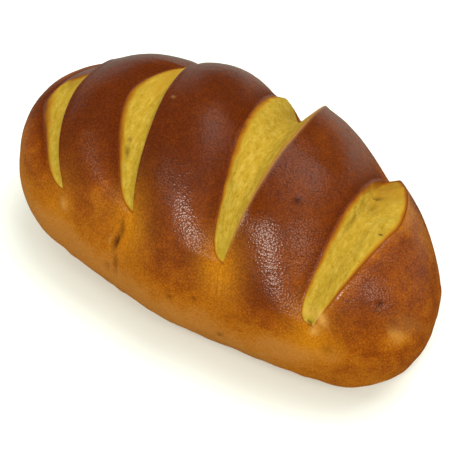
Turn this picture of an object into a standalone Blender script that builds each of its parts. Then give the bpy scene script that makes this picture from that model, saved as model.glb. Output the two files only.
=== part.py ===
"""A pumpkin bread loaf: one oval, egg-washed loaf whose crust has opened along four slanting slashes.

The loaf lies along X with its near end at +X, its far side at +Y and its flat underside on Z = 0.
Lengths below are in millimetres and angles in degrees. A turn is the angle around the loaf, 0 at the
crown, negative on the side that faces -Y and +-180 along the middle of the underside.
"""
from typing import NamedTuple

import bmesh
import bpy
import numpy as np

MM = 0.001

# The smooth body, before the humps and slashes
LENGTH = 200.0
WIDTH = 114.6
WAIST_HEIGHT = 30.0
RISE = 49.6
SINK = 47.0
PLAN_ROUND = 2.23
TOP_ROUND = 1.75
UNDER_ROUND = 2.3
WIDER_TO_RIGHT = 0.012
TALLER_TO_RIGHT = -0.078
HIGHER_TO_RIGHT = 0.025
ENDS_BEND = -12.7
LEAN = -0.25
UNDERSIDE_FILLET = 4.0

# Where the swell of a hump fades out below, and where its foot bulges over the underside
SHOULDER_TURN = 125.0
SHOULDER_FADE = 50.0
FOOT_TURN = 114.0
FOOT_SPREAD = 45.0

# Slow unevenness of the risen dough
UNEVEN = 0.45
UNEVEN_WAVES = (23.0, 31.0, 27.0)
UNEVEN_SHIFTS = (0.6, 0.3)
UNEVEN_UPWARD = 0.6

# The closed fold that carries each slash on past its tips
FOLD_WIDTH = 1.8
FOLD_START = 0.35
FAR_FOLD = 0.6

# How full the floor of an open cut stays toward its tips: 1 for a bow, near 0 for a trough
CUT_TAPER = 0.6

# How far past a tip, and over what turn, the raised and sunken rims of a slash level out
NEAR_RIM_PAST = 4.0
NEAR_RIM_FADE = 30.0
FAR_RIM_PAST = 20.0
FAR_RIM_FADE = 25.0

# Mesh: columns across each hump and slash from left to right, and rings around the loaf
COLUMNS = (10, 8, 9, 9, 11, 10, 10, 10, 11)
RING_POINTS = 64


class Hump(NamedTuple):
    """A stretch of whole crust. Heights over the smooth body at its two edges, its middle and its foot."""
    left: float
    right: float
    arch: float
    foot: float


class Edge(NamedTuple):
    """How far a slash edge bows out from the line between the tips, and where and how fully."""
    bow: float
    toward_far: float
    fullness: float


class Slash(NamedTuple):
    """An opened cut, from its tip on the near side to its tip on the far side."""
    near_x: float
    near_turn: float
    far_x: float
    far_turn: float
    left: Edge
    right: Edge
    depth: float
    deepest_toward_far: float
    valley: float
    left_wall: float
    right_wall: float
    fold_depth: float
    fold_reach: float
    fold_x: float


HUMPS = (
    Hump(left=0.0, right=-0.8, arch=1.9, foot=0.8),
    Hump(left=0.5, right=-1.9, arch=1.2, foot=-0.4),
    Hump(left=1.0, right=-1.9, arch=3.3, foot=0.6),
    Hump(left=3.7, right=-2.8, arch=1.4, foot=-0.4),
    Hump(left=2.0, right=0.0, arch=0.0, foot=2.0),
)

SLASHES = (
    Slash(near_x=-66.0, near_turn=-60.0, far_x=-66.4, far_turn=50.0,
          left=Edge(-23.7, 1.15, 0.5), right=Edge(-7.7, 0.7, 1.53),
          depth=2.5, deepest_toward_far=1.0, valley=0.78, left_wall=2.6, right_wall=1.4,
          fold_depth=1.0, fold_reach=40.0, fold_x=-63.0),
    Slash(near_x=-30.5, near_turn=-55.0, far_x=-29.2, far_turn=34.0,
          left=Edge(-18.1, 1.12, 0.58), right=Edge(-1.5, 0.63, 1.35),
          depth=3.5, deepest_toward_far=1.0, valley=0.8, left_wall=2.6, right_wall=1.4,
          fold_depth=1.8, fold_reach=60.0, fold_x=-36.0),
    Slash(near_x=13.0, near_turn=-57.0, far_x=23.7, far_turn=92.5,
          left=Edge(-11.6, 1.14, 0.32), right=Edge(10.2, 1.24, 0.93),
          depth=10.8, deepest_toward_far=2.4, valley=0.71, left_wall=2.6, right_wall=1.4,
          fold_depth=1.0, fold_reach=40.0, fold_x=12.0),
    Slash(near_x=54.5, near_turn=-67.0, far_x=68.4, far_turn=65.5,
          left=Edge(-6.2, 0.3, 1.44), right=Edge(14.3, 1.18, 1.0),
          depth=6.0, deepest_toward_far=1.2, valley=0.35, left_wall=1.6, right_wall=2.2,
          fold_depth=0.8, fold_reach=40.0, fold_x=51.0),
)

CRUST_COLOUR = (0.235, 0.062, 0.014, 1.0)
CRUMB_COLOUR = (0.62, 0.39, 0.07, 1.0)


def ease(t):
    """Smooth step from 0 at t = 0 to 1 at t = 1."""
    t = np.clip(t, 0.0, 1.0)
    return t * t * (3.0 - 2.0 * t)


def signed_power(value, exponent):
    return np.sign(value) * np.abs(value) ** exponent


def body_point(x, turn):
    """A point of the smooth body: superelliptic in plan and in section, leaning and slightly bent."""
    along = np.clip(2.0 * x / LENGTH, -1.0, 1.0)
    girth = np.maximum(1.0 - np.abs(along) ** PLAN_ROUND, 0.0) ** (1.0 / PLAN_ROUND)
    side = np.sin(np.radians(turn))
    up = np.cos(np.radians(turn))
    squareness = 2.0 / np.where(up > 0.0, TOP_ROUND, UNDER_ROUND)
    half_width = WIDTH / 2.0 * (1.0 + WIDER_TO_RIGHT * along)
    y = half_width * girth * signed_power(side, squareness) + ENDS_BEND * along ** 2
    reach = np.where(up > 0.0, RISE * (1.0 + TALLER_TO_RIGHT * along), SINK)
    waist = WAIST_HEIGHT * (1.0 + HIGHER_TO_RIGHT * along)
    z = waist + reach * girth * signed_power(up, squareness)
    return np.stack([x + LEAN * y, y, z], axis=-1)


def outward(x, turn):
    """The direction straight out of the smooth body."""
    nudge_x, nudge_turn = 0.02, 0.1
    right = np.clip(x + nudge_x, -LENGTH / 2.0, LENGTH / 2.0)
    left = np.clip(x - nudge_x, -LENGTH / 2.0, LENGTH / 2.0)
    lengthwise = body_point(right, turn) - body_point(left, turn)
    around = body_point(x, turn + nudge_turn) - body_point(x, turn - nudge_turn)
    normal = np.cross(lengthwise, around)
    size = np.linalg.norm(normal, axis=-1, keepdims=True)
    tip = np.stack([np.sign(x), 0.0 * x, 0.0 * x], axis=-1)
    return np.where(size > 1e-9, normal / np.maximum(size, 1e-9), tip)


def along_slash(slash, turn):
    """0 at the near tip of the slash, 1 at its far tip."""
    return np.clip((turn - slash.near_turn) / (slash.far_turn - slash.near_turn), 0.0, 1.0)


def bow(edge, s):
    return edge.bow * np.maximum(np.sin(np.pi * s ** edge.toward_far), 0.0) ** edge.fullness


def middle_line(slash, turn):
    """The line between the tips, led back around the underside to close the ring."""
    s = along_slash(slash, turn)
    across = slash.near_x + (slash.far_x - slash.near_x) * s
    around_under = 360.0 - (slash.far_turn - slash.near_turn)
    under = np.where(turn > slash.far_turn, turn - slash.far_turn, turn + 360.0 - slash.far_turn) / around_under
    back = slash.far_x + (slash.near_x - slash.far_x) * ease(under)
    fold = ease((slash.near_turn - turn) / slash.fold_reach) * ease((turn + 180.0) / slash.fold_reach)
    open_part = (turn >= slash.near_turn) & (turn <= slash.far_turn)
    return np.where(open_part, across, back + (slash.fold_x - slash.near_x) * fold)


def slash_edges(slash, turn):
    s = along_slash(slash, turn)
    middle = middle_line(slash, turn)
    return (middle + bow(slash.left, s) - FOLD_WIDTH / 2.0,
            middle + bow(slash.right, s) + FOLD_WIDTH / 2.0)


def valley_shape(slash, t):
    """The cross-section of a cut, 0 at both edges and 1 at its lowest line."""
    left = np.sin(np.pi / 2.0 * np.clip(t / slash.valley, 0.0, 1.0)) ** slash.left_wall
    right = np.sin(np.pi / 2.0 * np.clip((1.0 - t) / (1.0 - slash.valley), 0.0, 1.0)) ** slash.right_wall
    return np.where(t < slash.valley, left, right)


def cut_depth(slash, turn):
    """Depth of the open cut, or of the fold that runs on from its tips."""
    s = along_slash(slash, turn)
    cut = slash.depth * np.maximum(np.sin(np.pi * s ** slash.deepest_toward_far), 0.0) ** CUT_TAPER
    past = np.maximum(slash.near_turn - turn, turn - slash.far_turn) / slash.fold_reach
    fold = slash.fold_depth * (1.0 - ease(past)) * ease((past + FOLD_START) / FOLD_START)
    return np.maximum(cut, np.where(s > 0.5, FAR_FOLD, 1.0) * fold)


def rim_fade(slash, turn):
    """1 along the open cut, 0 well past its tips."""
    near = (turn - slash.near_turn + NEAR_RIM_PAST) / NEAR_RIM_FADE
    far = (slash.far_turn - turn + FAR_RIM_PAST) / FAR_RIM_FADE
    return ease(near) * ease(far)


def hump_height(index, t, turn):
    hump = HUMPS[index]
    swell = np.sin(np.pi * t)
    shoulder = ease((SHOULDER_TURN - np.abs(turn)) / SHOULDER_FADE)
    foot = ease(1.0 - np.abs(np.abs(turn) - FOOT_TURN) / FOOT_SPREAD)
    left = hump.left * rim_fade(SLASHES[index - 1], turn) if index > 0 else 0.0
    right = hump.right * rim_fade(SLASHES[index], turn) if index < len(SLASHES) else 0.0
    return left + (right - left) * t + hump.arch * swell * shoulder + hump.foot * swell * foot


def slash_height(index, t, turn):
    slash = SLASHES[index]
    rim = HUMPS[index].right + (HUMPS[index + 1].left - HUMPS[index].right) * t
    return rim * rim_fade(slash, turn) - cut_depth(slash, turn) * valley_shape(slash, t)


def unevenness(point):
    wave_x, wave_y, wave_z = UNEVEN_WAVES
    shift_x, shift_y = UNEVEN_SHIFTS
    x, y, z = point[..., 0], point[..., 1], point[..., 2]
    level = np.sin(x / wave_x * np.pi + shift_x) * np.cos(y / wave_y * np.pi + shift_y)
    return UNEVEN * (level + UNEVEN_UPWARD * np.sin(z / wave_z * np.pi + x / wave_y))


def rest_on_floor(point):
    """Flattens the underside to Z = 0, with a small round where the side meets it."""
    z, r = point[..., 2], UNDERSIDE_FILLET
    round_off = (z + r) ** 2 / (4.0 * r)
    point[..., 2] = np.where(z < -r, 0.0, np.where(z > r, z, round_off))
    return point


def loaf_point(zone, t, turn):
    """A point of the finished loaf. Zones count the humps and slashes from the left end."""
    ends = [np.full_like(turn, -LENGTH / 2.0)]
    for slash in SLASHES:
        ends.extend(slash_edges(slash, turn))
    ends.append(np.full_like(turn, LENGTH / 2.0))
    if zone == 0:
        t = 1.0 - np.cos(np.pi / 2.0 * t)
    if zone == len(ends) - 2:
        t = np.sin(np.pi / 2.0 * t)
    x = ends[zone] + (ends[zone + 1] - ends[zone]) * t
    height = slash_height(zone // 2, t, turn) if zone % 2 else hump_height(zone // 2, t, turn)
    skin = body_point(x, turn)
    return rest_on_floor(skin + outward(x, turn) * (height + unevenness(skin))[..., None])


def column_places():
    """The zone and the fraction across it of every column, from the left end to the right end."""
    places = [(zone, column / count) for zone, count in enumerate(COLUMNS) for column in range(count)]
    return places + [(len(COLUMNS) - 1, 1.0)]


def loaf_mesh():
    """A sphere turned onto its side, its poles at the loaf's ends, and drawn out to the loaf's surface."""
    bm = bmesh.new()
    bmesh.ops.create_uvsphere(bm, u_segments=RING_POINTS, v_segments=sum(COLUMNS), radius=1.0)
    places = column_places()
    columns, turns = [], []
    for vertex in bm.verts:
        x, y, z = vertex.co
        columns.append(round((1.0 - np.arccos(np.clip(z, -1.0, 1.0)) / np.pi) * sum(COLUMNS)))
        turns.append(np.degrees(np.arctan2(y, -x)))
    columns, turns = np.array(columns), np.array(turns)
    points = np.zeros((len(columns), 3))
    for column, (zone, t) in enumerate(places):
        chosen = columns == column
        turn = turns[chosen]
        points[chosen] = loaf_point(zone, np.full_like(turn, t), turn)
    low, high = points.min(axis=0), points.max(axis=0)
    points -= [(low[0] + high[0]) / 2.0, (low[1] + high[1]) / 2.0, low[2]]
    for vertex, point in zip(bm.verts, points):
        vertex.co = point * MM
    paint_slashes(bm, dict(zip((v.index for v in bm.verts), columns)), places)
    mesh = bpy.data.meshes.new("loaf")
    bm.to_mesh(mesh)
    bm.free()
    return mesh


def paint_slashes(bm, column_of, places):
    """Gives the faces inside the open cuts the crumb material."""
    for face in bm.faces:
        zone = places[min(column_of[v.index] for v in face.verts)][0]
        face.material_index = zone % 2
        face.smooth = True


def material(name, colour, roughness):
    made = bpy.data.materials.new(name)
    made.use_nodes = True
    shader = made.node_tree.nodes["Principled BSDF"]
    shader.inputs["Base Color"].default_value = colour
    shader.inputs["Roughness"].default_value = roughness
    shader.inputs["Metallic"].default_value = 0.0
    made.diffuse_color = colour
    return made


def build():
    for old in list(bpy.data.objects):
        bpy.data.objects.remove(old, do_unlink=True)
    collection = bpy.data.collections.new("pumpkin_bread")
    bpy.context.scene.collection.children.link(collection)
    mesh = loaf_mesh()
    mesh.materials.append(material("crust", CRUST_COLOUR, 0.35))
    mesh.materials.append(material("crumb", CRUMB_COLOUR, 0.8))
    loaf = bpy.data.objects.new("loaf", mesh)
    collection.objects.link(loaf)


build()
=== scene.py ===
"""A pumpkin bread loaf: the egg-washed crust, the yellow crumb in its four slashes, floor, light, camera.

The loaf's surface is the same function of the same driving dimensions as in the solid, here with a fine
mesh, pores, blisters and wrinkles. Lengths are in millimetres and turns in degrees until a vertex or an
object is placed. A turn goes round the loaf: 0 on the crown, below 0 on the near side, 180 underneath.
Zones count humps and slashes from the left end, and t runs across a zone from 0 at its left to 1.
"""
from typing import NamedTuple

import bmesh
import bpy
import numpy as np
from mathutils import Matrix, Vector, noise


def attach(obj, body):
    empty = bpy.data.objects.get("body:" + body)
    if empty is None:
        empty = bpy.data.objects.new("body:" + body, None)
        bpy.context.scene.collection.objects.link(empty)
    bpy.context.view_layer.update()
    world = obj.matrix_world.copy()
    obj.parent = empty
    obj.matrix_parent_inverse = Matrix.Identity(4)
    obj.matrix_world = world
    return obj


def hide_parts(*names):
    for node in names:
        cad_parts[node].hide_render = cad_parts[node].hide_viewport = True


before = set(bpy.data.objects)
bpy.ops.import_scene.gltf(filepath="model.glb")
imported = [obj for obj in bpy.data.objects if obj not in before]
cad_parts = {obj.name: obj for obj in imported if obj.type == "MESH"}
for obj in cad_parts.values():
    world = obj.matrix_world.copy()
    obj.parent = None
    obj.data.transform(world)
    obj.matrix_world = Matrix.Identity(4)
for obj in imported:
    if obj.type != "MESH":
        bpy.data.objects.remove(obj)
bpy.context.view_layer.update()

MM = 0.001

# The smooth body, before the humps and slashes
LENGTH = 200.0
WIDTH = 114.6
WAIST_HEIGHT = 30.0
RISE = 49.6
SINK = 47.0
PLAN_ROUND = 2.23
TOP_ROUND = 1.75
UNDER_ROUND = 2.3
WIDER_TO_RIGHT = 0.012
TALLER_TO_RIGHT = -0.078
HIGHER_TO_RIGHT = 0.025
ENDS_BEND = -12.7
LEAN = -0.25
UNDERSIDE_FILLET = 4.0

# Where the swell of a hump fades out below, and where its foot bulges over the underside
SHOULDER_TURN = 125.0
SHOULDER_FADE = 50.0
FOOT_TURN = 114.0
FOOT_SPREAD = 45.0

# Slow unevenness of the risen dough
UNEVEN = 0.45
UNEVEN_WAVES = (23.0, 31.0, 27.0)
UNEVEN_SHIFTS = (0.6, 0.3)
UNEVEN_UPWARD = 0.6

# The closed fold that carries each slash on past its tips
FOLD_WIDTH = 1.8
FOLD_START = 0.35
FAR_FOLD = 0.6

# How full the floor of an open cut stays toward its tips: 1 for a bow, near 0 for a trough
CUT_TAPER = 0.6

# How far past a tip, and over what turn, the raised and sunken rims of a slash level out
NEAR_RIM_PAST = 4.0
NEAR_RIM_FADE = 30.0
FAR_RIM_PAST = 20.0
FAR_RIM_FADE = 25.0

# The solid's mesh, from which its frame is centred, and the fine mesh
SOLID_COLUMNS = (10, 8, 9, 9, 11, 10, 10, 10, 11)
SOLID_RING_POINTS = 64
COLUMNS = (34, 36, 44, 40, 44, 42, 42, 42, 42)
RING_POINTS = 262
RING_CROWDING = 0.42

# Browning: heights below which each hump's crust is palest and above which it is darkest
PALE_HEIGHTS = (34.0, 30.0, 25.0, 16.0, -15.0)
DARK_HEIGHTS = (68.0, 72.0, 77.0, 90.0, 106.0)
LEAST_BAKE = -0.15

# How widely those of two humps blend past the tips of a slash, and over what share of its turn it opens
BLEND_WIDTH = 10.0
BLEND_SHARE = 0.12

# How much darker the crust is on the left and on the right side of each open slash
LEFT_SIDE_BAKE = (0.35, 0.35, 0.35, 0.35)
RIGHT_SIDE_BAKE = (0.12, 0.12, 0.12, -0.3)
RIM_WIDTH = 3.2

# How steeply the lips and the darker rims grow from nothing at the tips of a slash
LIP_STEEPNESS = 2.0
RIM_STEEPNESS = 3.0

# A painted highlight: the pale line along the sharp right edge of the third slash
PAINTED_EDGE_HIGHLIGHT_ZONE = 6
PAINTED_EDGE_HIGHLIGHT = 0.55
PAINTED_EDGE_HIGHLIGHT_WIDTH = 0.6

# The orange dough drawn out at each slash's near tip, and how far below the tip its middle lies
TIP_GLOW = (0.5, 1.0, 0.95, 0.9)
TIP_GLOW_WIDTH = 9.0
TIP_GLOW_REACH = 15.0
TIP_GLOW_BELOW = 5.0

# Egg wash: its least amount, the heights over which it thickens, and the toasting at which it ends
GLAZE_LEAST = 0.12
GLAZE_FROM = 38.0
GLAZE_OVER = 20.0
GLAZE_ENDS = 0.3

# How much of the egg wash is missing on the left side of a slash and on drawn-out dough, and how far
BARE_SHARE = 0.8
BARE_RIM_WIDTH = 6.4

# Toasting along a slash: the share of its width that it has at the near tip, where along the slash it
# has it all, how much wider the right band is at the far tip, and how weakly the left one follows
TOAST_AT_TIP = 0.35
TOAST_FULL_AT = 0.35
TOAST_TOWARD_FAR = (1.2, 1.2, 1.2, -0.6)
LEFT_FOLLOWS = 0.3
TOAST_RAGGED = 0.15

# How much the crumb is toasted all over toward the far tip of each slash, and where along it
FAR_TOAST = (0.2, 0.2, 0.0, 0.3)
FAR_TOAST_FROM = 0.5
FAR_TOAST_OVER = 0.4

# The turn at which crust closes over the far end of each cut, the turn that it takes, and its slant
CRUSTED_FROM = (10.0, 40.0, 62.0, 60.0)
CRUSTED_OVER = 14.0
CRUSTED_SLANT = 16.0
CRUSTED_RAGGED = 3.0

# How much wider than a closed fold a cut is where its crumb shows in full
CRUMB_SHOWS_OVER = 2.5

# Closed folds: a soft groove in place of the solid's sharp one, the share of its depth kept at each
# slash, how much it is filled, and over what share of the slash's turn it gives way to the open cut
FOLD_SOFTNESS = 2.8
FOLD_KEPT = (0.3, 0.7, 0.1, 0.1)
VALLEY_FILL = 0.35
FOLD_SHARE = 0.06

# The crust rolls off toward the left side of a cut, and a thin lip stands up along each side
ROLL_OFF = 1.3
ROLL_WIDTH = 9.0
ROLL_INTO_CUT = 4.0
LEFT_LIP_HEIGHT = 0.2
LEFT_LIP_WIDTH = 1.1
LEFT_LIP_BACK = 1.6
RIGHT_LIP_HEIGHT = 0.35
RIGHT_LIP_WIDTH = 1.2

# Ridges of stretched dough below the near tip of the third slash
WRINKLES_RIGHT = 0.7
WRINKLES_BELOW = 11.0
WRINKLES_BREADTH = 4.2
WRINKLES_LENGTH = 7.0
WRINKLE_SLANT = 0.08
WRINKLE_SPACING = 2.9
WRINKLE_HEIGHT = 0.275
WRINKLE_PALENESS = 0.12

# The turn past which the foot is uneven, and the turn over which that grows
FOOT_FROM = 95.0
FOOT_OVER = 20.0

# Crumb: fibres drawn out along the slash and the lumps of each slash, sizes across and along
FIBRE_HEIGHT = 0.28
FIBRE_SIZE = (1.9, 8.0, 1.0)
LUMP_HEIGHTS = (0.3, 0.35, 0.5, 1.1)
LUMP_SIZE = (4.5, 11.0, 1.0)
LUMP_SEED = 20.0

# Open pores, at most one in each cell: the radius is in cells
PORE_DEPTH = 0.7
PORE_RADIUS = 0.34
PORE_SPACING = 3.0
PORE_STRETCH = (1.0, 1.5, 1.0)
CELLS_WITHOUT_PORE = 0.55

# Fractal noise: how its octaves weaken and shrink, and how many it has
FRACTAL = (1.0, 2.0, 3)

# How the seed of a noise moves it, on the other axes than the first
FIELD_SKEW = 0.7
CELL_SKEW = 0.5
CHANCE_SCALE = 7.31

# The values that colour the bread, each held by the points of the mesh
MASKS = ("crumb", "bake", "stain_and_painted_light", "glaze", "glow")


class Roughness(NamedTuple):
    """Smooth noise: how strong it is, how large its features are, and its seed."""
    strength: float
    size: float
    seed: float


SKIN_SWELL = Roughness(strength=0.16, size=18.0, seed=9.0)
SKIN_GRAIN = Roughness(strength=0.05, size=3.5, seed=2.0)
FOOT_ROUGHNESS = Roughness(strength=0.8, size=19.0, seed=14.0)
BAKE_BLOTCHES = Roughness(strength=0.12, size=24.0, seed=5.0)
BAKE_SPOTS = Roughness(strength=0.05, size=5.0, seed=7.0)
TOAST_JITTER = Roughness(strength=1.0, size=5.0, seed=6.0)


class Hump(NamedTuple):
    """A stretch of whole crust. Heights over the smooth body at its two edges, its middle and its foot."""
    left: float
    right: float
    arch: float
    foot: float


class Edge(NamedTuple):
    """How far a slash edge bows out from the line between the tips, and where and how fully."""
    bow: float
    toward_far: float
    fullness: float


class Slash(NamedTuple):
    """An opened cut, from its tip on the near side to its tip on the far side."""
    near_x: float
    near_turn: float
    far_x: float
    far_turn: float
    left: Edge
    right: Edge
    depth: float
    deepest_toward_far: float
    valley: float
    left_wall: float
    right_wall: float
    fold_depth: float
    fold_reach: float
    fold_x: float
    left_toast: float
    right_toast: float


HUMPS = (
    Hump(left=0.0, right=-0.8, arch=1.9, foot=0.8),
    Hump(left=0.5, right=-1.9, arch=1.2, foot=-0.4),
    Hump(left=1.0, right=-1.9, arch=3.3, foot=0.6),
    Hump(left=3.7, right=-2.8, arch=1.4, foot=-0.4),
    Hump(left=2.0, right=0.0, arch=0.0, foot=2.0),
)

SLASHES = (
    Slash(near_x=-66.0, near_turn=-60.0, far_x=-66.4, far_turn=50.0,
          left=Edge(-23.7, 1.15, 0.5), right=Edge(-7.7, 0.7, 1.53),
          depth=2.5, deepest_toward_far=1.0, valley=0.78, left_wall=2.6, right_wall=1.4,
          fold_depth=1.0, fold_reach=40.0, fold_x=-63.0, left_toast=6.5, right_toast=0.8),
    Slash(near_x=-30.5, near_turn=-55.0, far_x=-29.2, far_turn=34.0,
          left=Edge(-18.1, 1.12, 0.58), right=Edge(-1.5, 0.63, 1.35),
          depth=3.5, deepest_toward_far=1.0, valley=0.8, left_wall=2.6, right_wall=1.4,
          fold_depth=1.8, fold_reach=60.0, fold_x=-36.0, left_toast=4.2, right_toast=0.7),
    Slash(near_x=13.0, near_turn=-57.0, far_x=23.7, far_turn=92.5,
          left=Edge(-11.6, 1.14, 0.32), right=Edge(10.2, 1.24, 0.93),
          depth=10.8, deepest_toward_far=2.4, valley=0.71, left_wall=2.6, right_wall=1.4,
          fold_depth=1.0, fold_reach=40.0, fold_x=12.0, left_toast=3.8, right_toast=0.7),
    Slash(near_x=54.5, near_turn=-67.0, far_x=68.4, far_turn=65.5,
          left=Edge(-6.2, 0.3, 1.44), right=Edge(14.3, 1.18, 1.0),
          depth=6.0, deepest_toward_far=1.2, valley=0.35, left_wall=1.6, right_wall=2.2,
          fold_depth=0.8, fold_reach=40.0, fold_x=51.0, left_toast=3.0, right_toast=2.6),
)


def ease(t):
    """Smooth step from 0 at t = 0 to 1 at t = 1."""
    t = np.clip(t, 0.0, 1.0)
    return t * t * (3.0 - 2.0 * t)


def bell(distance, width):
    """1 at no distance, fading to 0.37 at the width."""
    return np.exp(-(distance / width) ** 2)


def signed_power(value, exponent):
    return np.sign(value) * np.abs(value) ** exponent


def body_point(x, turn):
    """A point of the smooth body: superelliptic in plan and in section, leaning and slightly bent."""
    along = np.clip(2.0 * x / LENGTH, -1.0, 1.0)
    girth = np.maximum(1.0 - np.abs(along) ** PLAN_ROUND, 0.0) ** (1.0 / PLAN_ROUND)
    side = np.sin(np.radians(turn))
    up = np.cos(np.radians(turn))
    squareness = 2.0 / np.where(up > 0.0, TOP_ROUND, UNDER_ROUND)
    half_width = WIDTH / 2.0 * (1.0 + WIDER_TO_RIGHT * along)
    y = half_width * girth * signed_power(side, squareness) + ENDS_BEND * along ** 2
    reach = np.where(up > 0.0, RISE * (1.0 + TALLER_TO_RIGHT * along), SINK)
    waist = WAIST_HEIGHT * (1.0 + HIGHER_TO_RIGHT * along)
    z = waist + reach * girth * signed_power(up, squareness)
    return np.stack([x + LEAN * y, y, z], axis=-1)


def outward(x, turn):
    """The direction straight out of the smooth body."""
    nudge_x, nudge_turn = 0.02, 0.1
    right = np.clip(x + nudge_x, -LENGTH / 2.0, LENGTH / 2.0)
    left = np.clip(x - nudge_x, -LENGTH / 2.0, LENGTH / 2.0)
    lengthwise = body_point(right, turn) - body_point(left, turn)
    around = body_point(x, turn + nudge_turn) - body_point(x, turn - nudge_turn)
    normal = np.cross(lengthwise, around)
    size = np.linalg.norm(normal, axis=-1, keepdims=True)
    tip = np.stack([np.sign(x), 0.0 * x, 0.0 * x], axis=-1)
    return np.where(size > 1e-9, normal / np.maximum(size, 1e-9), tip)


def along_slash(slash, turn):
    """0 at the near tip of the slash, 1 at its far tip."""
    return np.clip((turn - slash.near_turn) / (slash.far_turn - slash.near_turn), 0.0, 1.0)


def bow(edge, s):
    return edge.bow * np.maximum(np.sin(np.pi * s ** edge.toward_far), 0.0) ** edge.fullness


def middle_line(slash, turn):
    """The line between the tips, led back around the underside to close the ring."""
    s = along_slash(slash, turn)
    across = slash.near_x + (slash.far_x - slash.near_x) * s
    around_under = 360.0 - (slash.far_turn - slash.near_turn)
    past_far_tip = np.where(turn > slash.far_turn, turn, turn + 360.0) - slash.far_turn
    under = past_far_tip / around_under
    back = slash.far_x + (slash.near_x - slash.far_x) * ease(under)
    fold = ease((slash.near_turn - turn) / slash.fold_reach) * ease((turn + 180.0) / slash.fold_reach)
    open_part = (turn >= slash.near_turn) & (turn <= slash.far_turn)
    return np.where(open_part, across, back + (slash.fold_x - slash.near_x) * fold)


def slash_edges(slash, turn):
    s = along_slash(slash, turn)
    middle = middle_line(slash, turn)
    return (middle + bow(slash.left, s) - FOLD_WIDTH / 2.0,
            middle + bow(slash.right, s) + FOLD_WIDTH / 2.0)


def valley_shape(slash, t):
    """The cross-section of a cut, 0 at both edges and 1 at its lowest line."""
    left = np.sin(np.pi / 2.0 * np.clip(t / slash.valley, 0.0, 1.0)) ** slash.left_wall
    right = np.sin(np.pi / 2.0 * np.clip((1.0 - t) / (1.0 - slash.valley), 0.0, 1.0)) ** slash.right_wall
    return np.where(t < slash.valley, left, right)


def fold_line(slash, turn):
    """Depth of the closed fold that carries the slash on past its tips."""
    past = np.maximum(slash.near_turn - turn, turn - slash.far_turn) / slash.fold_reach
    return slash.fold_depth * (1.0 - ease(past)) * ease((past + FOLD_START) / FOLD_START)


def cut_depth(slash, turn):
    """Depth of the open cut, or of the fold that runs on from its tips."""
    s = along_slash(slash, turn)
    cut = slash.depth * np.maximum(np.sin(np.pi * s ** slash.deepest_toward_far), 0.0) ** CUT_TAPER
    return np.maximum(cut, np.where(s > 0.5, FAR_FOLD, 1.0) * fold_line(slash, turn))


def rim_fade(slash, turn):
    """1 along the open cut, 0 well past its tips."""
    near = (turn - slash.near_turn + NEAR_RIM_PAST) / NEAR_RIM_FADE
    far = (slash.far_turn - turn + FAR_RIM_PAST) / FAR_RIM_FADE
    return ease(near) * ease(far)


def hump_height(index, t, turn):
    hump = HUMPS[index]
    swell = np.sin(np.pi * t)
    shoulder = ease((SHOULDER_TURN - np.abs(turn)) / SHOULDER_FADE)
    foot = ease(1.0 - np.abs(np.abs(turn) - FOOT_TURN) / FOOT_SPREAD)
    left = hump.left * rim_fade(SLASHES[index - 1], turn) if index > 0 else 0.0
    right = hump.right * rim_fade(SLASHES[index], turn) if index < len(SLASHES) else 0.0
    return left + (right - left) * t + hump.arch * swell * shoulder + hump.foot * swell * foot


def slash_height(index, t, turn):
    slash = SLASHES[index]
    rim = HUMPS[index].right + (HUMPS[index + 1].left - HUMPS[index].right) * t
    return rim * rim_fade(slash, turn) - cut_depth(slash, turn) * valley_shape(slash, t)


def unevenness(point):
    wave_x, wave_y, wave_z = UNEVEN_WAVES
    shift_x, shift_y = UNEVEN_SHIFTS
    x, y, z = point[..., 0], point[..., 1], point[..., 2]
    level = np.sin(x / wave_x * np.pi + shift_x) * np.cos(y / wave_y * np.pi + shift_y)
    return UNEVEN * (level + UNEVEN_UPWARD * np.sin(z / wave_z * np.pi + x / wave_y))


def rest_on_floor(point):
    """Flattens the underside to Z = 0, with a small round where the side meets it."""
    z, r = point[..., 2], UNDERSIDE_FILLET
    round_off = (z + r) ** 2 / (4.0 * r)
    point[..., 2] = np.where(z < -r, 0.0, np.where(z > r, z, round_off))
    return point


def zone_bounds(zone, turn):
    """The left and right limits of a hump or slash. Zones count them from the left end."""
    ends = [np.full_like(turn, -LENGTH / 2.0)]
    for slash in SLASHES:
        ends.extend(slash_edges(slash, turn))
    ends.append(np.full_like(turn, LENGTH / 2.0))
    return ends[zone], ends[zone + 1]


def spaced(zone, t):
    """Closes the columns up toward the two ends of the loaf."""
    if zone == 0:
        return 1.0 - np.cos(np.pi / 2.0 * t)
    if zone == 2 * len(SLASHES):
        return np.sin(np.pi / 2.0 * t)
    return t


def surface(zone, t, turn, x, relief=0.0):
    """A point of the finished loaf, with relief over the solid's surface."""
    height = slash_height(zone // 2, t, turn) if zone % 2 else hump_height(zone // 2, t, turn)
    skin = body_point(x, turn)
    height = height + unevenness(skin) + relief
    return rest_on_floor(skin + outward(x, turn) * height[..., None])


def loaf_point(zone, t, turn):
    """A point of the solid's surface."""
    left, right = zone_bounds(zone, turn)
    t = spaced(zone, t)
    return surface(zone, t, turn, left + (right - left) * t)


def column_places(columns):
    """The zone and the fraction across it of every column, from the left end to the right end."""
    places = [(zone, column / count) for zone, count in enumerate(columns) for column in range(count)]
    return places + [(len(columns) - 1, 1.0)]


def frame_centre():
    """Where the solid's own box is centred, so that this mesh lies exactly over it."""
    angles = 2.0 * np.pi * np.arange(SOLID_RING_POINTS) / SOLID_RING_POINTS
    turn = np.degrees(np.arctan2(np.sin(angles), -np.cos(angles)))
    points = np.concatenate([loaf_point(zone, np.full_like(turn, t), turn)
                             for zone, t in column_places(SOLID_COLUMNS)])
    low, high = points.min(axis=0), points.max(axis=0)
    return np.array([(low[0] + high[0]) / 2.0, (low[1] + high[1]) / 2.0, low[2]])


CENTRE = frame_centre()


# Fine relief and the colour masks

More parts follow.
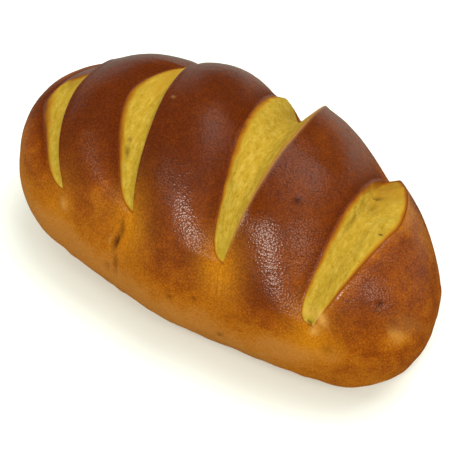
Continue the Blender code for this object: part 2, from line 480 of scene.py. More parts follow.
class Mark(NamedTuple):
    """A blister, pit, crease or stain on the loaf. It stands out, or is a pit where its height is negative,
    and it is darker than what is round it, or paler where dark is negative."""
    x: float
    turn: float
    length: float
    breadth: float
    slant: float
    height: float
    dark: float


# About how far round the loaf one degree of turn reaches
MM_PER_DEGREE = 1.0

MARKS = (
    # On the crust: dark specks and blisters, from the left end to the right
    Mark(x=-78.5, turn=12.0, length=7.0, breadth=3.0, slant=0.0, height=0.0, dark=0.3),
    Mark(x=-63.3, turn=-67.0, length=3.4, breadth=2.2, slant=0.0, height=1.1, dark=-0.35),
    Mark(x=-25.7, turn=-2.5, length=0.9, breadth=0.8, slant=0.0, height=0.5, dark=-0.3),
    Mark(x=-6.6, turn=-84.0, length=1.1, breadth=1.1, slant=0.0, height=-0.2, dark=0.7),
    Mark(x=3.9, turn=-79.5, length=1.0, breadth=1.0, slant=0.0, height=-0.2, dark=0.6),
    Mark(x=15.1, turn=-100.0, length=1.6, breadth=1.6, slant=0.0, height=0.5, dark=0.6),
    Mark(x=37.4, turn=-21.5, length=1.9, breadth=1.2, slant=30.0, height=0.3, dark=0.9),
    Mark(x=44.6, turn=41.0, length=1.1, breadth=1.1, slant=0.0, height=0.3, dark=0.7),
    Mark(x=51.8, turn=15.0, length=1.0, breadth=1.0, slant=0.0, height=0.2, dark=0.6),
    Mark(x=51.8, turn=-3.0, length=0.9, breadth=0.9, slant=0.0, height=0.2, dark=0.5),
    Mark(x=61.9, turn=-78.5, length=2.6, breadth=2.6, slant=0.0, height=-0.3, dark=0.35),
    Mark(x=78.1, turn=-43.0, length=1.2, breadth=0.9, slant=20.0, height=-0.8, dark=1.0),
    Mark(x=86.1, turn=-20.0, length=4.0, breadth=0.8, slant=0.0, height=-0.6, dark=0.25),
    Mark(x=83.2, turn=-58.0, length=3.0, breadth=0.9, slant=-15.0, height=-0.8, dark=0.15),
    Mark(x=87.2, turn=-57.5, length=4.4, breadth=3.4, slant=-30.0, height=-0.8, dark=-0.28),
    Mark(x=90.5, turn=-49.0, length=7.0, breadth=6.0, slant=0.0, height=0.3, dark=-0.12),
    Mark(x=98.0, turn=29.0, length=1.6, breadth=1.6, slant=0.0, height=0.9, dark=0.5),
    # In the crumb of the second slash: two open pores, darkened with painted shade
    Mark(x=-40.2, turn=-32.5, length=2.4, breadth=1.3, slant=-15.0, height=-1.5, dark=0.5),
    Mark(x=-40.1, turn=-27.0, length=1.2, breadth=1.0, slant=0.0, height=-0.8, dark=0.45),
    # In the crumb of the last slash: pit, furrow, tear and a toasted streak, then its ragged tip; the
    # darkening of the pits, furrow and tear is painted shade
    Mark(x=69.0, turn=31.5, length=2.6, breadth=1.4, slant=0.0, height=-1.5, dark=0.55),
    Mark(x=68.6, turn=20.5, length=7.0, breadth=1.2, slant=4.0, height=-1.0, dark=0.25),
    Mark(x=72.3, turn=-8.0, length=0.8, breadth=0.6, slant=0.0, height=-0.6, dark=1.1),
    Mark(x=72.0, turn=-5.0, length=7.5, breadth=0.8, slant=4.0, height=-0.5, dark=0.12),
    Mark(x=61.0, turn=-8.0, length=14.0, breadth=1.6, slant=10.0, height=0.7, dark=0.2),
    Mark(x=53.2, turn=-66.0, length=1.2, breadth=1.0, slant=0.0, height=-1.2, dark=0.6),
    Mark(x=51.2, turn=-62.5, length=1.3, breadth=1.0, slant=40.0, height=0.9, dark=-0.4),
    Mark(x=55.4, turn=-66.5, length=1.6, breadth=1.2, slant=-30.0, height=0.8, dark=-0.4),
    Mark(x=53.0, turn=-61.0, length=2.0, breadth=0.9, slant=0.0, height=0.6, dark=-0.3),
    Mark(x=57.6, turn=-61.5, length=3.6, breadth=1.8, slant=-25.0, height=0.3, dark=-0.75),
    Mark(x=55.6, turn=-69.5, length=2.0, breadth=1.6, slant=15.0, height=0.3, dark=-0.6),
    # The pinched dough below the tip of the second slash, its creases darkened with painted shade
    Mark(x=-33.7, turn=-63.5, length=4.5, breadth=0.9, slant=-4.0, height=-1.0, dark=0.5),
    Mark(x=-35.6, turn=-71.5, length=5.0, breadth=0.9, slant=12.0, height=-1.5, dark=0.9),
    Mark(x=-35.8, turn=-86.0, length=8.0, breadth=0.9, slant=0.0, height=-0.9, dark=0.5),
    Mark(x=-37.9, turn=-71.5, length=2.6, breadth=1.2, slant=12.0, height=0.9, dark=-0.2),
    Mark(x=-39.8, turn=-91.0, length=4.0, breadth=1.3, slant=10.0, height=-0.8, dark=0.25),
)


class Patch(NamedTuple):
    """A stretch of crust that differs from what is round it, most in its middle, and by how much."""
    x: float
    turn: float
    breadth: float
    length: float
    amount: float


# Where the crust has baked darker, or paler where the amount is negative
PATCHES = (
    Patch(x=-46.0, turn=-56.0, breadth=7.0, length=10.0, amount=-0.3),
    Patch(x=-52.0, turn=-22.0, breadth=9.0, length=14.0, amount=0.12),
    Patch(x=-83.0, turn=12.0, breadth=5.0, length=18.0, amount=0.4),
    Patch(x=-8.0, turn=-28.0, breadth=9.0, length=12.0, amount=0.15),
    Patch(x=32.4, turn=-61.0, breadth=9.0, length=9.0, amount=0.35),
    Patch(x=75.0, turn=-43.0, breadth=7.0, length=9.0, amount=0.18),
    Patch(x=87.6, turn=-62.0, breadth=6.0, length=8.0, amount=-0.4),
    Patch(x=65.5, turn=-82.0, breadth=14.0, length=8.0, amount=-0.15),
    Patch(x=86.0, turn=35.0, breadth=9.0, length=24.0, amount=-0.3),
    Patch(x=45.0, turn=-88.0, breadth=14.0, length=8.0, amount=-0.25),
    Patch(x=84.0, turn=-16.0, breadth=8.0, length=14.0, amount=-0.12),
)

# Where the egg wash has run thin
THIN_WASH = (
    Patch(x=8.0, turn=-55.0, breadth=8.0, length=9.0, amount=0.75),
    Patch(x=22.5, turn=-34.0, breadth=7.0, length=8.0, amount=0.9),
    Patch(x=43.0, turn=-61.0, breadth=9.0, length=8.0, amount=0.4),
)


def patch_sum(patches, x, turn):
    """The patches' amounts added up, each fading over its breadth and length."""
    total = np.zeros_like(turn)
    for patch in patches:
        total += patch.amount * bell(x - patch.x, patch.breadth) * bell(turn - patch.turn, patch.length)
    return total


def mark_weight(mark, x, turn):
    """1 in the middle of a mark, fading over its length around the loaf and its breadth along it."""
    across, around = x - mark.x, (turn - mark.turn) * MM_PER_DEGREE
    sine, cosine = np.sin(np.radians(mark.slant)), np.cos(np.radians(mark.slant))
    u, v = across * cosine - around * sine, across * sine + around * cosine
    return bell(u, mark.breadth) * bell(v, mark.length)


def field(points, kind):
    """Smooth noise at each point."""
    shift = Vector((kind.seed, kind.seed * FIELD_SKEW, -kind.seed))
    return kind.strength * np.array([noise.fractal(Vector(p) / kind.size + shift, *FRACTAL) for p in points])


def cells(points, size, seed):
    """Distance to the nearest of scattered points, in cells, and a random number for that cell."""
    shift = Vector((seed, -seed, seed * CELL_SKEW))
    distance, chance = [], []
    for p in points:
        near, places = noise.voronoi(Vector(p) / size + shift)
        distance.append(near[0])
        chance.append(noise.cell(places[0] * CHANCE_SCALE))
    return np.array(distance), np.array(chance)


def opening(index, turn, steepness):
    """1 along an open slash, 0 at its tips and past them."""
    return ease(np.sin(np.pi * along_slash(SLASHES[index], turn)) * steepness)


def closed_part(slash, turn, share):
    """1 where the slash is a closed fold, 0 along its open cut past that share of its turn."""
    s = along_slash(slash, turn)
    return 1.0 - ease(s / share) * ease((1.0 - s) / share)


def toast_width(index, turn):
    """How far the toasting reaches in from the left and the right edge of a slash, less near its tip."""
    slash = SLASHES[index]
    s = along_slash(slash, turn)
    narrowing = TOAST_AT_TIP + (1.0 - TOAST_AT_TIP) * ease(s / TOAST_FULL_AT)
    widening = 1.0 + TOAST_TOWARD_FAR[index] * s
    return slash.left_toast * narrowing * widening ** LEFT_FOLLOWS, slash.right_toast * narrowing * widening


def crumb_amount(zone, t, turn, width, jitter):
    """0 on the crust, 1 on the open crumb, passing through toasted orange along the slash edges."""
    if zone % 2 == 0:
        return np.zeros_like(turn)
    index = zone // 2
    left_toast, right_toast = toast_width(index, turn)
    from_left = np.clip(t * width / left_toast + TOAST_RAGGED * jitter * ease(t * width), 0.0, 1.0)
    from_right = np.clip((1.0 - t) * width / right_toast, 0.0, 1.0)
    opened = ease((width - FOLD_WIDTH) / CRUMB_SHOWS_OVER)
    crusted_from = CRUSTED_FROM[index] + CRUSTED_SLANT * (t - 0.5) + CRUSTED_RAGGED * jitter
    crusted = ease((turn - crusted_from) / CRUSTED_OVER)
    far_toast = FAR_TOAST[index] * ease((along_slash(SLASHES[index], turn) - FAR_TOAST_FROM) / FAR_TOAST_OVER)
    return from_left * from_right * opened * (1.0 - crusted) * (1.0 - far_toast)


def fold_relief(zone, t, turn, width):
    """Turns the solid's sharp fold into a soft groove that spreads into the humps beside it."""
    relief = np.zeros_like(turn)
    for index, slash in enumerate(SLASHES):
        closed = closed_part(slash, turn, FOLD_SHARE)
        if zone == 2 * index + 1:
            away = (t - 0.5) * width
            relief += closed * cut_depth(slash, turn) * valley_shape(slash, t)
        elif zone == 2 * index:
            away = (1.0 - t) * width + FOLD_WIDTH / 2.0
        elif zone == 2 * index + 2:
            away = t * width + FOLD_WIDTH / 2.0
        else:
            continue
        groove = (VALLEY_FILL - FOLD_KEPT[index] * fold_line(slash, turn)) * closed
        relief += groove * bell(away, FOLD_SOFTNESS)
    return relief


def lip_relief(zone, t, turn, width):
    """The rolled crust and its thin raised lips along the edges of the open slashes."""
    from_left, from_right = t * width, (1.0 - t) * width
    if zone % 2:
        return -ROLL_OFF * opening(zone // 2, turn, LIP_STEEPNESS) * bell(from_left, ROLL_INTO_CUT)
    relief = np.zeros_like(turn)
    if zone > 0:
        lip = RIGHT_LIP_HEIGHT * bell(from_left, RIGHT_LIP_WIDTH)
        relief += lip * opening(zone // 2 - 1, turn, LIP_STEEPNESS)
    if zone < 2 * len(SLASHES):
        lip = LEFT_LIP_HEIGHT * bell(from_right - LEFT_LIP_BACK, LEFT_LIP_WIDTH)
        rolled = ROLL_OFF * bell(from_right, ROLL_WIDTH)
        relief += (lip - rolled) * opening(zone // 2, turn, LIP_STEEPNESS)
    return relief


def wrinkles(x, turn):
    """Small ridges of stretched dough below the tip of the third slash."""
    third = SLASHES[2]
    across, below = x - third.fold_x - WRINKLES_RIGHT, turn - third.near_turn + WRINKLES_BELOW
    wave = np.sin(2.0 * np.pi * (across + WRINKLE_SLANT * below) / WRINKLE_SPACING)
    return wave * bell(across, WRINKLES_BREADTH) * bell(below, WRINKLES_LENGTH)


def crumb_relief(zone, t, turn, width):
    """Fibres drawn along the slash, lumps and scattered open pores."""
    flat = np.stack([t * width, turn * MM_PER_DEGREE, np.zeros_like(turn)], axis=-1)
    fibres = field(flat / np.array(FIBRE_SIZE), Roughness(FIBRE_HEIGHT, 1.0, zone))
    lumps = field(flat / np.array(LUMP_SIZE), Roughness(LUMP_HEIGHTS[zone // 2], 1.0, zone + LUMP_SEED))
    near, chance = cells(flat / np.array(PORE_STRETCH), PORE_SPACING, zone)
    pores = -PORE_DEPTH * ease(1.0 - near / PORE_RADIUS) * (chance > CELLS_WITHOUT_PORE)
    return fibres + lumps + pores


def fine_relief(zone, t, turn, x, width, skin, crumb):
    """Everything that the fine mesh has over the solid's surface."""
    relief = field(skin, SKIN_SWELL) + field(skin, SKIN_GRAIN)
    relief += WRINKLE_HEIGHT * wrinkles(x, turn) + fold_relief(zone, t, turn, width)
    relief += lip_relief(zone, t, turn, width)
    relief += ease((np.abs(turn) - FOOT_FROM) / FOOT_OVER) * field(skin, FOOT_ROUGHNESS)
    if crumb.max() > 0.0:
        relief += crumb * crumb_relief(zone, t, turn, width)
    for mark in MARKS:
        relief += mark.height * mark_weight(mark, x, turn)
    return relief


def rim_closeness(zone, t, turn, width, reach):
    """1 on the crust right beside an open slash: on its left side, then on its right side."""
    left_side, right_side = np.zeros_like(turn), np.zeros_like(turn)
    if zone % 2:
        return left_side, right_side
    if zone < 2 * len(SLASHES):
        left_side = opening(zone // 2, turn, RIM_STEEPNESS) * bell((1.0 - t) * width, reach)
    if zone > 0:
        right_side = opening(zone // 2 - 1, turn, RIM_STEEPNESS) * bell(t * width, reach)
    return left_side, right_side


def hump_blend(zone, t, turn, width, values):
    """A value given for each hump, passing to the next one's across a cut, and more widely past its tips."""
    own = values[zone // 2]
    if zone % 2:
        closed = closed_part(SLASHES[zone // 2], turn, BLEND_SHARE)
        across = 0.5 + (ease(t) - 0.5) * (1.0 - closed)
        return own + (values[zone // 2 + 1] - own) * across
    blend = np.full_like(t, own)
    if zone < 2 * len(SLASHES):
        closed = closed_part(SLASHES[zone // 2], turn, BLEND_SHARE)
        blend += 0.5 * (values[zone // 2 + 1] - own) * closed * bell((1.0 - t) * width, BLEND_WIDTH)
    if zone > 0:
        closed = closed_part(SLASHES[zone // 2 - 1], turn, BLEND_SHARE)
        blend += 0.5 * (values[zone // 2 - 1] - own) * closed * bell(t * width, BLEND_WIDTH)
    return blend


def bake_amount(zone, t, turn, x, width, height, skin):
    """How dark the crust has baked: 0 golden near the base, 1 dark brown on top."""
    pale_height = hump_blend(zone, t, turn, width, PALE_HEIGHTS)
    dark_height = hump_blend(zone, t, turn, width, DARK_HEIGHTS)
    bake = np.clip((height - pale_height) / (dark_height - pale_height), LEAST_BAKE, 1.0)
    bake += field(skin, BAKE_BLOTCHES) + field(skin, BAKE_SPOTS)
    bake += patch_sum(PATCHES, x, turn)
    left_side, right_side = rim_closeness(zone, t, turn, width, RIM_WIDTH)
    if zone < 2 * len(SLASHES):
        bake += LEFT_SIDE_BAKE[zone // 2] * left_side
    if zone > 0:
        bake += RIGHT_SIDE_BAKE[zone // 2 - 1] * right_side
    return np.clip(bake, 0.0, 1.0)


def glow_amount(x, turn):
    """1 on the thin orange dough drawn out round the near tip of each slash."""
    glow = np.zeros_like(turn)
    for slash, strength in zip(SLASHES, TIP_GLOW):
        below = turn - slash.near_turn + TIP_GLOW_BELOW
        glow += strength * bell(x - slash.near_x, TIP_GLOW_WIDTH) * bell(below, TIP_GLOW_REACH)
    return np.clip(glow, 0.0, 1.0)


def stain_and_painted_light_amount(zone, t, turn, x, width):
    """Above 0 where a mark is darker than the bread, below 0 where it is paler: stains, painted shade in
    pits, pores and creases, and a painted highlight.
    """
    stain_and_painted_light = sum(mark.dark * mark_weight(mark, x, turn) for mark in MARKS)
    stain_and_painted_light = stain_and_painted_light - WRINKLE_PALENESS * np.maximum(wrinkles(x, turn), 0.0)
    # The painted highlight, as a pale mark along the right edge of the third slash
    if zone == PAINTED_EDGE_HIGHLIGHT_ZONE:
        edge = opening(zone // 2 - 1, turn, RIM_STEEPNESS) * bell(t * width, PAINTED_EDGE_HIGHLIGHT_WIDTH)
        stain_and_painted_light = stain_and_painted_light - PAINTED_EDGE_HIGHLIGHT * edge
    return stain_and_painted_light


def glaze_amount(zone, t, turn, x, width, height, crumb, glow):
    """How thick the egg wash lies: full on top, thin lower down, and none on the crumb."""
    left_side, _ = rim_closeness(zone, t, turn, width, BARE_RIM_WIDTH)
    glaze = GLAZE_LEAST + (1.0 - GLAZE_LEAST) * ease((height - GLAZE_FROM) / GLAZE_OVER)
    glaze *= 1.0 - ease(crumb / GLAZE_ENDS)
    glaze *= (1.0 - BARE_SHARE * left_side) * (1.0 - BARE_SHARE * glow)
    return glaze * (1.0 - patch_sum(THIN_WASH, x, turn))


def fine_column(zone, t, turn):
    """The points of one column of the fine mesh, and their values for each mask."""
    left, right = zone_bounds(zone, turn)
    width = right - left
    t = spaced(zone, np.full_like(turn, t))
    x = left + width * t
    skin = body_point(x, turn)
    crumb = crumb_amount(zone, t, turn, width, field(skin, TOAST_JITTER))
    relief = fine_relief(zone, t, turn, x, width, skin, crumb)
    point = surface(zone, t, turn, x, relief)
    height = point[:, 2] - CENTRE[2]
    bake = bake_amount(zone, t, turn, x, width, height, skin)
    stain_and_painted_light = stain_and_painted_light_amount(zone, t, turn, x, width)
    glow = glow_amount(x, turn)
    glaze = glaze_amount(zone, t, turn, x, width, height, crumb, glow)
    return point, dict(zip(MASKS, (crumb, bake, stain_and_painted_light, glaze, glow)))


def sphere_places(bm):
    """The column of each vertex of the sphere, counted from its lower pole, and its turn round the loaf."""
    columns, angles = [], []
    for vertex in bm.verts:
        x, y, z = vertex.co
        from_pole = 1.0 - np.arccos(np.clip(z, -1.0, 1.0)) / np.pi
        columns.append(round(from_pole * sum(COLUMNS)))
        angles.append(np.arctan2(y, -x))
    angles = np.array(angles)
    return np.array(columns), np.degrees(angles - RING_CROWDING * np.sin(angles))


def loaf_mesh():
    """A sphere turned onto its side, its poles at the loaf's ends, and drawn out to the loaf's surface."""
    bm = bmesh.new()
    bmesh.ops.create_uvsphere(bm, u_segments=RING_POINTS, v_segments=sum(COLUMNS), radius=1.0)
    columns, turns = sphere_places(bm)
    points = np.zeros((len(columns), 3))
    masks = {name: np.zeros(len(columns)) for name in MASKS}
    for column, (zone, t) in enumerate(column_places(COLUMNS)):
        chosen = columns == column
        points[chosen], found = fine_column(zone, t, turns[chosen])
        for name, values in found.items():
            masks[name][chosen] = values
    points -= CENTRE
    points[:, 2] = np.maximum(points[:, 2], 0.0)
    for vertex, point in zip(bm.verts, points):
        vertex.co = point * MM
    for face in bm.faces:
        face.smooth = True
    mesh = bpy.data.meshes.new("loaf_skin")
    bm.to_mesh(mesh)
    bm.free()
    for name, values in masks.items():
        attribute = mesh.attributes.new(name, 'FLOAT', 'POINT')
        attribute.data.foreach_set("value", values.astype(np.float32))
    return mesh


# Materials: colours are red, green and blue from 0 to 255, and scales are features per metre

# The crust by how much it has baked, from 0 to 1, and the thin dough drawn out at the slash tips
CRUST_SHADES = (
    (0.0, (164, 107, 42)),
    (0.2, (160, 94, 9)),
    (0.4, (139, 70, 3)),
    (0.6, (118, 54, 2)),
    (1.0, (94, 38, 2)),
)
DRAWN_OUT_DOUGH = (190, 122, 14)

# From the crust's edge to the open crumb
TOAST_SHADES = (
    (0.0, (98, 44, 5)),
    (0.15, (114, 56, 8)),
    (0.35, (138, 84, 15)),
    (0.6, (154, 108, 25)),
    (0.85, (163, 126, 36)),
)
CRUST_ENDS = (0.0, 0.1)
CRUMB_STARTS = (0.7, 1.0)

# The crumb's streaks, from its darker ones to its paler ones, its olive clouds and the painted shade of its
# pores
CRUMB_SHADES = (
    (0.3, (148, 118, 28)),
    (0.5, (166, 137, 44)),
    (0.7, (180, 154, 68)),
)
OLIVE_CRUMB = (150, 124, 30)
OLIVE_SHARE = 0.6
PORE_PAINTED_SHADE = (130, 102, 18)
PORE_SHARE = 0.45

# Marks: dark specks, and painted shade in pits, pores, tears and creases; paler crust and crumb, and the
# painted highlight along the third slash's edge
DARK_STAIN_AND_SHADE = (50, 18, 5)
PALE_STAIN_AND_HIGHLIGHT = (196, 150, 76)

# Painted shade of the orange-peel grain: the factor by which it darkens the crust, from the middle of a cell
# to its edge
GRAIN_SHADE_FACTORS = (
    (0.1, (1.0, 1.0, 1.0, 1.0)),
    (0.65, (0.66, 0.62, 0.56, 1.0)),
)

# How far the browning varies, and what share of the mottling and of the grain's painted shade pale crust has
MOTTLING = 0.12
SPECKLING = 0.1
TOAST_MOTTLING = 0.1
PALE_TO_BAKED = (0.1, 0.6)
MOTTLING_WHEN_PALE = 0.4
GRAIN_SHADE_WHEN_PALE = 0.55

MOTTLE_SCALE = 170.0
SPECKLE_SCALE = 1500.0
CELL_SCALE = 1150.0
STREAK_SCALE = 520.0
STREAK_STRETCH = (1.0, 0.4, 0.6)
OLIVE_SCALE = 420.0
PORE_SCALE = 520.0
RIPPLE_SCALE = 700.0
PIT_SCALE = 1500.0

# The range that a noise texture's values mostly have, and those in which olive clouds and pores appear
NOISE_RANGE = (0.3, 0.7)
OLIVE_RANGE = (0.42, 0.7)
PORE_CHANCES = (0.6, 0.65)
PORE_DISTANCES = (0.38, 0.18)

# How far the mottling thins the drawn-out dough's colour and the egg wash
DRAWN_OUT_SHARES = (0.7, 1.0)
COAT_SHARES = (0.7, 0.95)

# Gloss, and the depth in metres of relief too fine for the mesh
COAT_IOR = 1.45
COAT_ROUGHNESS = 0.26
BARE_ROUGHNESS = 0.85
GLAZED_ROUGHNESS = 0.6
SPECULAR_LEVEL = 0.02
BLISTER_DEPTH = 0.00009
RIPPLE_DEPTH = 0.00003
PIT_DEPTH = 0.00014


def srgb(red, green, blue):
    """Linear colour from 0 to 255 sRGB values."""
    values = np.array([red, green, blue]) / 255.0
    linear = np.where(values <= 0.04045, values / 12.92, ((values + 0.055) / 1.055) ** 2.4)
    return (*linear.tolist(), 1.0)


def srgb_stops(shades):
    return tuple((place, srgb(*shade)) for place, shade in shades)


class Nodes:
    """Short calls for building one material's node tree."""

    def __init__(self, name):
        self.material = bpy.data.materials.new(name)
        self.material.use_nodes = True
        self.tree = self.material.node_tree
        self.shader = self.tree.nodes["Principled BSDF"]

    def add(self, kind, **settings):
        node = self.tree.nodes.new(kind)
        for key, value in settings.items():
            setattr(node, key, value)
        return node

    def link(self, source, target):
        self.tree.links.new(source, target)

    def attribute(self, name):
        return self.add("ShaderNodeAttribute", attribute_name=name).outputs["Fac"]

    def noise(self, scale, detail=2.0, roughness=0.5, stretch=None):
        coordinates = self.add("ShaderNodeTexCoord").outputs["Object"]
        if stretch:
            mapping = self.add("ShaderNodeMapping")
            mapping.inputs["Scale"].default_value = stretch
            self.link(coordinates, mapping.inputs["Vector"])
            coordinates = mapping.outputs["Vector"]
        texture = self.add("ShaderNodeTexNoise")
        texture.inputs["Scale"].default_value = scale
        texture.inputs["Detail"].default_value = detail
        texture.inputs["Roughness"].default_value = roughness
        self.link(coordinates, texture.inputs["Vector"])
        return texture.outputs["Fac"]

    def voronoi(self, scale):
        texture = self.add("ShaderNodeTexVoronoi", feature='F1')
        texture.inputs["Scale"].default_value = scale
        self.link(self.add("ShaderNodeTexCoord").outputs["Object"], texture.inputs["Vector"])
        return texture.outputs["Distance"], texture.outputs["Color"]

    def red(self, colour):
        node = self.add("ShaderNodeSeparateColor")
        self.link(colour, node.inputs["Color"])
        return node.outputs[0]

    def math(self, operation, first, second=None, clamp=False):
        node = self.add("ShaderNodeMath", operation=operation, use_clamp=clamp)
        for socket, value in zip(node.inputs, (first, second)):
            if value is None:
                continue
            if isinstance(value, (int, float)):
                socket.default_value = value
            else:
                self.link(value, socket)
        return node.outputs[0]

    def span(self, value, low, high, to_low=0.0, to_high=1.0):
        node = self.add("ShaderNodeMapRange")
        for key, number in (("From Min", low), ("From Max", high), ("To Min", to_low), ("To Max", to_high)):
            node.inputs[key].default_value = number
        self.link(value, node.inputs["Value"])
        return node.outputs["Result"]

    def noise_span(self, value, to_low, to_high):
        return self.span(value, *NOISE_RANGE, to_low, to_high)

    def ramp(self, value, stops):
        node = self.add("ShaderNodeValToRGB")
        ramp = node.color_ramp
        while len(ramp.elements) < len(stops):
            ramp.elements.new(0.5)
        for element, (place, colour) in zip(ramp.elements, stops):
            element.position = place
            element.color = colour
        self.link(value, node.inputs["Fac"])
        return node.outputs["Color"]

    def mix(self, factor, first, second, blend='MIX'):
        node = self.add("ShaderNodeMix", data_type='RGBA', blend_type=blend)
        for socket, value in zip((node.inputs[0], node.inputs[6], node.inputs[7]), (factor, first, second)):
            if isinstance(value, (int, float, tuple)):
                socket.default_value = value
            else:
                self.link(value, socket)
        return node.outputs[2]

    def bump(self, height, distance, normal=None):
        node = self.add("ShaderNodeBump")
        node.inputs["Strength"].default_value = 1.0
        node.inputs["Distance"].default_value = distance
        self.link(height, node.inputs["Height"])
        if normal is not None:
            self.link(normal, node.inputs["Normal"])
        return node.outputs["Normal"]


def crust_colour(n, bake, glow, mottle, cell):
    """Browned crust, mottled and speckled, darkened between the cells of its orange-peel grain by painted
    shade.
    """
    mottling = n.math('MULTIPLY', n.noise_span(mottle, -MOTTLING, MOTTLING),
                      n.span(bake, *PALE_TO_BAKED, MOTTLING_WHEN_PALE, 1.0))
    speckling = n.noise_span(n.noise(SPECKLE_SCALE, detail=1.0), -SPECKLING, SPECKLING)
    baked = n.math('ADD', n.math('ADD', bake, mottling), speckling, clamp=True)
    colour = n.ramp(baked, srgb_stops(CRUST_SHADES))
    drawn_out = n.math('MULTIPLY', glow, n.noise_span(mottle, *DRAWN_OUT_SHARES))
    colour = n.mix(drawn_out, colour, srgb(*DRAWN_OUT_DOUGH))
    grain_shade_share = n.span(baked, *PALE_TO_BAKED, GRAIN_SHADE_WHEN_PALE, 1.0)
    return n.mix(grain_shade_share, colour, n.ramp(cell, GRAIN_SHADE_FACTORS), blend='MULTIPLY')


def crumb_colour(n):
    """Yellow crumb in fine streaks, with olive clouds and small pores darkened with painted shade."""
    streaks = n.noise(STREAK_SCALE, detail=4.0, roughness=0.75, stretch=STREAK_STRETCH)
    colour = n.ramp(streaks, srgb_stops(CRUMB_SHADES))
    olive = n.noise(OLIVE_SCALE, detail=3.0, roughness=0.7)
    colour = n.mix(n.span(olive, *OLIVE_RANGE, 0.0, OLIVE_SHARE), colour, srgb(*OLIVE_CRUMB))
    distance, chance = n.voronoi(PORE_SCALE)
    pore = n.math('MULTIPLY', n.span(n.red(chance), *PORE_CHANCES), n.span(distance, *PORE_DISTANCES))
    return n.mix(n.math('MULTIPLY', pore, PORE_SHARE), colour, srgb(*PORE_PAINTED_SHADE))


def bread_colour(n, crumb, mottle, stain_and_painted_light, crust):
    """The crust, then toasted orange, then the crumb, with the marks over them: stains, painted shade in
    pits, pores and creases, and a painted highlight.
    """
    ragged = n.math('MULTIPLY', n.noise_span(mottle, -TOAST_MOTTLING, TOAST_MOTTLING), crumb)
    toasted = n.math('ADD', crumb, ragged, clamp=True)
    toast = n.ramp(toasted, srgb_stops(TOAST_SHADES))
    inner = n.mix(n.span(toasted, *CRUMB_STARTS), toast, crumb_colour(n))
    colour = n.mix(n.span(toasted, *CRUST_ENDS), crust, inner)
    colour = n.mix(n.span(stain_and_painted_light, 0.0, 1.0), colour, srgb(*DARK_STAIN_AND_SHADE))
    return n.mix(n.span(stain_and_painted_light, 0.0, -1.0), colour, srgb(*PALE_STAIN_AND_HIGHLIGHT))


def add_gloss(n, glaze, mottle):
    """The egg wash as a clear coat over bread that is matt where it is bare."""
    coat = n.math('MULTIPLY', glaze, n.noise_span(mottle, *COAT_SHARES))
    n.link(coat, n.shader.inputs["Coat Weight"])
    n.shader.inputs["Coat IOR"].default_value = COAT_IOR
    n.shader.inputs["Coat Roughness"].default_value = COAT_ROUGHNESS
    n.link(n.span(glaze, 0.0, 1.0, BARE_ROUGHNESS, GLAZED_ROUGHNESS), n.shader.inputs["Roughness"])
    n.shader.inputs["Specular IOR Level"].default_value = SPECULAR_LEVEL


def add_fine_relief(n, cell):
    """Orange peel and ripples in the egg wash, and under it the pitted crust as well."""
    blisters = n.bump(n.math('MULTIPLY', cell, cell), BLISTER_DEPTH)
    ripple = n.bump(n.noise(RIPPLE_SCALE, detail=1.0), RIPPLE_DEPTH, blisters)
    pitted = n.bump(n.noise(PIT_SCALE, detail=2.0), PIT_DEPTH, ripple)
    n.link(pitted, n.shader.inputs["Normal"])
    n.link(ripple, n.shader.inputs["Coat Normal"])


def bread_material():
    n = Nodes("egg_washed_bread")
    crumb, bake, stain_and_painted_light, glaze, glow = (n.attribute(name) for name in MASKS)
    mottle = n.noise(MOTTLE_SCALE, detail=4.0, roughness=0.6)
    cell, _ = n.voronoi(CELL_SCALE)
    crust = crust_colour(n, bake, glow, mottle, cell)
    n.link(bread_colour(n, crumb, mottle, stain_and_painted_light, crust), n.shader.inputs["Base Color"])
    add_gloss(n, glaze, mottle)
    add_fine_relief(n, cell)
    return n.material


# The floor's own colour, and the linear colours that the glaze mirrors of it in front and behind the loaf
FLOOR_COLOUR = (0.855, 0.91, 0.86, 1.0)
MIRRORED_IN_FRONT = (0.02, 0.02, 0.02, 1.0)
MIRRORED_BEHIND = (0.28, 0.28, 0.26, 1.0)

# Where the one passes to the other, in metres behind a line across the floor, and that line's slope
BEHIND_LOAF = (0.03, 0.16)
BEHIND_SLOPE = 0.6


def floor_material():
    """White paper. In the glaze it is bright behind the loaf only, where the photograph shows pale rims."""
    n = Nodes("white_floor")
    place = n.add("ShaderNodeSeparateXYZ")
    n.link(n.add("ShaderNodeTexCoord").outputs["Object"], place.inputs["Vector"])
    behind = n.math('SUBTRACT', place.outputs["Y"], n.math('MULTIPLY', place.outputs["X"], BEHIND_SLOPE))
    reflected = n.mix(n.span(behind, *BEHIND_LOAF), MIRRORED_IN_FRONT, MIRRORED_BEHIND)
    mirrored = n.add("ShaderNodeLightPath").outputs["Is Glossy Ray"]
    n.link(n.mix(mirrored, FLOOR_COLOUR, reflected), n.shader.inputs["Base Color"])
    n.shader.inputs["Roughness"].default_value = 0.9
    n.shader.inputs["Specular IOR Level"].default_value = 0.0
    return n.material


# Stage, light and camera, in metres and watts, but the aim is in the loaf's millimetres

FLOOR_SIZE = 12.0
WORLD_COLOUR = (0.96, 1.0, 0.98, 1.0)
WORLD_STRENGTH = 0.66
DAYLIGHT = (1.0, 0.97, 0.92)
WARM = (1.0, 0.92, 0.82)

# The photograph's view: the camera looks down at 50 degrees, turned 31 degrees toward the right end
VIEW_TURN = 31.0
VIEW_ELEVATION = 50.0
VIEW_DISTANCE = 0.6
PICTURE_WIDTH = 460.0
PIXELS_PER_METRE = 2346.5
SENSOR_WIDTH = 36.0
AIM = (0.0, 0.0, 35.0)
AIM_UP = -16.0


def make_floor():
    bpy.ops.mesh.primitive_plane_add(size=FLOOR_SIZE, location=(0.0, 0.0, 0.0))
    floor = bpy.context.active_object
    floor.name = "floor"
    floor.data.materials.append(floor_material())


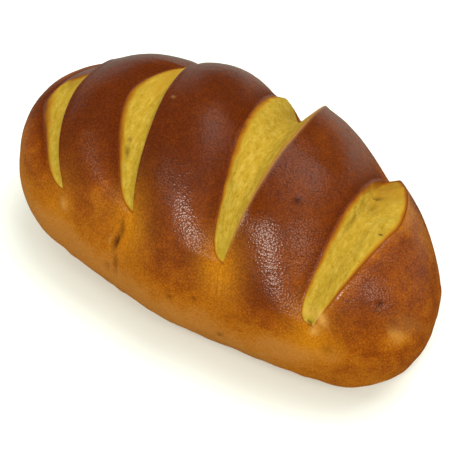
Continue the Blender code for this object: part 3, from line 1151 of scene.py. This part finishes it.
def direction(azimuth, elevation):
    """A unit vector, azimuth counted from +X toward +Y."""
    azimuth, elevation = np.radians(azimuth), np.radians(elevation)
    level = np.cos(elevation)
    return Vector((np.cos(azimuth) * level, np.sin(azimuth) * level, np.sin(elevation)))


def soft_light(name, azimuth, elevation, distance, size, power, colour=DAYLIGHT, mirrored=True):
    """A rectangular light that faces the loaf. Unless it is mirrored, the glaze doesn't show it."""
    data = bpy.data.lights.new(name, 'AREA')
    data.shape = 'RECTANGLE'
    data.size, data.size_y = size
    data.energy = power
    data.color = colour
    light = bpy.data.objects.new(name, data)
    light.location = direction(azimuth, elevation) * distance
    light.rotation_euler = (-light.location).to_track_quat('-Z', 'Y').to_euler()
    light.visible_glossy = mirrored
    bpy.context.scene.collection.objects.link(light)


def make_world():
    world = bpy.data.worlds.new("studio")
    bpy.context.scene.world = world
    world.use_nodes = True
    background = world.node_tree.nodes["Background"]
    background.inputs["Color"].default_value = WORLD_COLOUR
    background.inputs["Strength"].default_value = WORLD_STRENGTH
    world.cycles_visibility.glossy = False


def make_camera():
    turn, elevation = np.radians(VIEW_TURN), np.radians(VIEW_ELEVATION)
    level = Vector((-np.sin(turn), np.cos(turn), 0.0))
    forward = level * np.cos(elevation) - Vector((0.0, 0.0, np.sin(elevation)))
    up = level * np.sin(elevation) + Vector((0.0, 0.0, np.cos(elevation)))
    right = forward.cross(up)
    target = (Vector(AIM) - Vector(CENTRE) + up * AIM_UP) * MM
    data = bpy.data.cameras.new("camera")
    data.sensor_width = SENSOR_WIDTH
    data.lens = PIXELS_PER_METRE * VIEW_DISTANCE / PICTURE_WIDTH * data.sensor_width
    camera = bpy.data.objects.new("camera", data)
    rotation = Matrix((right, up, -forward)).transposed().to_4x4()
    camera.matrix_world = Matrix.Translation(target - forward * VIEW_DISTANCE) @ rotation
    bpy.context.scene.collection.objects.link(camera)
    bpy.context.scene.camera = camera


def make_loaf():
    mesh = loaf_mesh()
    mesh.materials.append(bread_material())
    loaf = bpy.data.objects.new("bread", mesh)
    bpy.context.scene.collection.objects.link(loaf)
    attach(loaf, "root")
    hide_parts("loaf")


def make_lights():
    """Large soft lights above and behind, and three small warm ones that the glaze mirrors in front."""
    soft_light("overhead_softbox", azimuth=70.0, elevation=68.0, distance=1.8, size=(1.6, 1.2), power=21.0,
               mirrored=False)
    soft_light("sheen_softbox", azimuth=60.0, elevation=61.0, distance=1.8, size=(1.3, 1.0), power=6.0)
    soft_light("backdrop_left", azimuth=150.0, elevation=14.0, distance=1.6, size=(1.6, 0.9), power=2.0)
    soft_light("backdrop_right", azimuth=30.0, elevation=14.0, distance=1.6, size=(1.6, 0.9), power=2.0)
    soft_light("front_softbox", azimuth=-78.0, elevation=46.5, distance=1.2, size=(0.2, 0.22), power=7.0,
               colour=WARM)
    soft_light("left_softbox", azimuth=-129.0, elevation=50.0, distance=1.2, size=(0.2, 0.2), power=0.7,
               colour=WARM)
    soft_light("right_softbox", azimuth=-22.0, elevation=43.0, distance=1.2, size=(0.22, 0.2), power=1.5,
               colour=WARM)


make_loaf()
make_floor()
make_world()
make_camera()
make_lights()
bpy.context.scene.view_settings.view_transform = 'Standard'
